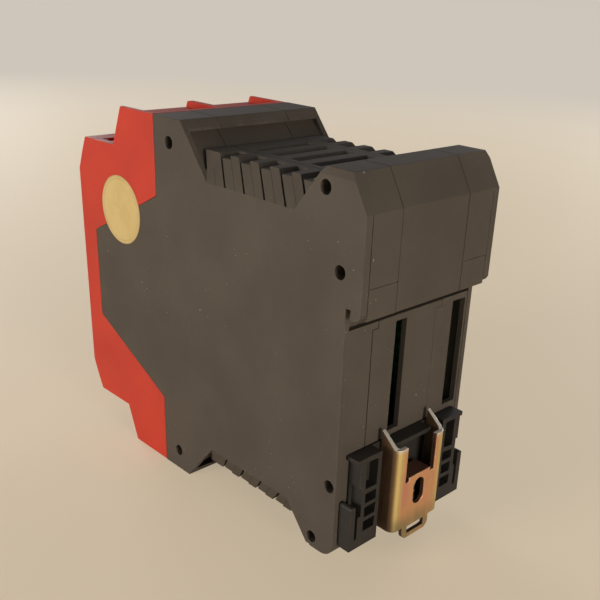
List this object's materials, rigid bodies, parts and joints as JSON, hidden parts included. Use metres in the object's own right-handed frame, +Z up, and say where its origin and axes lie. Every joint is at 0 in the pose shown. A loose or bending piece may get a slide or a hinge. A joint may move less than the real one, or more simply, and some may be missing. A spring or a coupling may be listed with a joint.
{
  "type": "safety relay",
  "caption": "Slim plug-on control module with a stepped front hood, leaning vent slots, and a sprung rear clip that snaps onto a mounting rail.",
  "frame": {"origin": "centre of the bounding box in plan, on the plane of the lower terminal faces", "axes": "+Z up along the module, -Y out of the terminal front, +Y towards the mounting rail, +X right seen from the front"},
  "size_m": [0.045, 0.1142, 0.099],
  "materials": {
    "housing_black": "matt, fine moulded grain",
    "hood_red": "satin red moulding",
    "foot_black": "satin black moulding",
    "terminal_grey": "matt moulding",
    "clip_steel": "yellow passivated zinc plate",
    "zinc_steel": "bright zinc plate",
    "spring_steel": "bare spring wire",
    "board_green": "solder mask",
    "relay_case": "moulded cover",
    "core_iron": "varnished laminations",
    "coil_tape": "wound coil under tape",
    "can_sleeve": "sleeved can",
    "fuse_body": "moulded fuse",
    "varistor_blue": "coated disc",
    "indicator": "diffused lens",
    "lens_clear": "clear pane",
    "label_cream": "faded sealing label"
  },
  "bodies": {
    "housing": {"centre_frame": "housing_black", "clip_spring": "spring_steel", "front_board": "board_green", "front_hood": "hood_red", "fuse": "fuse_body", "indicators": "indicator", "lower_inner_block_left": "terminal_grey", "lower_inner_block_right": "terminal_grey", "lower_outer_block_left": "terminal_grey", "lower_outer_block_right": "terminal_grey", "main_board_left": "board_green", "main_board_right": "board_green", "rail_foot": "foot_black", "safety_relay_1": "relay_case", "safety_relay_2": "relay_case", "safety_relay_3": "relay_case", "seal_label": "label_cream", "side_shell_left": "housing_black", "side_shell_right": "housing_black", "smoothing_capacitor": "can_sleeve", "terminal_clamps": "zinc_steel", "terminal_screws": "zinc_steel", "transformer_coil": "coil_tape", "transformer_core": "core_iron", "upper_inner_block_left": "terminal_grey", "upper_inner_block_right": "terminal_grey", "upper_outer_block_left": "terminal_grey", "upper_outer_block_right": "terminal_grey", "varistor": "varistor_blue", "window_lens": "lens_clear"},
    "clip": {"rail_clip": "clip_steel"}
  },
  "joints": [
    {"name": "clip_slide", "type": "slide", "parent": "housing", "child": "clip", "axis": [0, 0, -1], "range_m": [0, 0.004], "stiffness_N_per_m": 2000, "springref_m": -0.002, "deforming": ["clip_spring"]}
  ]
}
